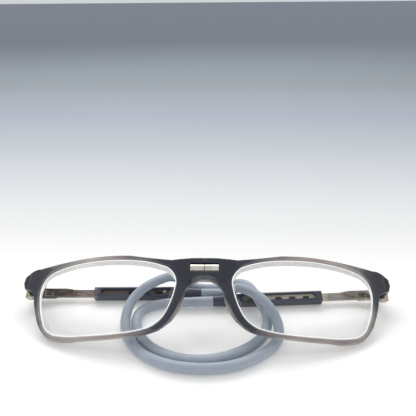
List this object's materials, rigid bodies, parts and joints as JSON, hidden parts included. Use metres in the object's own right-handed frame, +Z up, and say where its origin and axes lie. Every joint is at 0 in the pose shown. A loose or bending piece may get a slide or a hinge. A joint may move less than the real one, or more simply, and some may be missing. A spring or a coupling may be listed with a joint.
{
  "type": "folding reading glasses with neck cord",
  "caption": "Folded reading glasses with a magnetic split bridge, notched temples that slide in sleeves, and a silicone neck cord that joins the sleeves.",
  "frame": {"origin": "bottom centre of the folded glasses' bounding box, measured without the neck cord and the pieces on it", "axes": "+X from left to right across the front as seen from in front, +Y back over the folded temples, +Z up from the table"},
  "size_m": [0.1392, 0.0518, 0.0231],
  "materials": {
    "rim": "smoky blue-grey translucent nylon, satin",
    "lens": "clear polished reading lens",
    "magnet_plating": "nickel plate",
    "magnet": "sintered magnet, plated",
    "hinge_metal": "worn nickel over brass",
    "fastener": "bright steel",
    "temple": "smoky brown translucent nylon",
    "stop_pin": "bright steel",
    "sleeve": "dark navy-grey, satin",
    "spring_steel": "spring steel",
    "cord_end": "blue-grey silicone, matte",
    "barb": "hidden pin",
    "cord": "blue-grey silicone, matte"
  },
  "bodies": {
    "cord_and_sleeves": {"neck_cord": "cord", "left_sleeve": "sleeve", "left_detent_leaf": "spring_steel", "left_cord_plug": "cord_end", "left_plug_barb": "barb", "right_sleeve": "sleeve", "right_detent_leaf": "spring_steel", "right_cord_plug": "cord_end", "right_plug_barb": "barb"},
    "left_arm": {"left_arm": "temple", "left_stop_pin": "stop_pin", "left_arm_hinge": "hinge_metal", "left_arm_rivets": "fastener"},
    "left_front": {"left_rim": "rim", "left_lens": "lens", "left_magnet_cup": "magnet_plating", "left_magnet": "magnet", "left_front_hinge": "hinge_metal", "left_front_rivets": "fastener", "left_hinge_screw": "fastener"},
    "right_arm": {"right_arm": "temple", "right_stop_pin": "stop_pin", "right_arm_hinge": "hinge_metal", "right_arm_rivets": "fastener"},
    "right_front": {"right_rim": "rim", "right_lens": "lens", "right_magnet_cup": "magnet_plating", "right_magnet": "magnet", "right_front_hinge": "hinge_metal", "right_front_rivets": "fastener", "right_hinge_screw": "fastener"}
  },
  "joints": [
    {"name": "left_temple_slide", "type": "slide", "parent": "cord_and_sleeves", "child": "left_arm", "axis": [-0.9998, -0.018, 0], "range_m": [0, 0.024]},
    {"name": "right_temple_slide", "type": "slide", "parent": "cord_and_sleeves", "child": "right_arm", "axis": [0.9969, 0.0791, 0], "range_m": [0, 0.024]},
    {"name": "left_hinge", "type": "hinge", "parent": "left_arm", "child": "left_front", "pos_m": [-0.0674, 0.01149, 0.0056], "axis": [0, -0.866, -0.5], "range_deg": [0, 92]},
    {"name": "right_hinge", "type": "hinge", "parent": "right_arm", "child": "right_front", "pos_m": [0.0674, 0.01149, 0.0056], "axis": [0, 0.866, 0.5], "range_deg": [0, 92]}
  ]
}
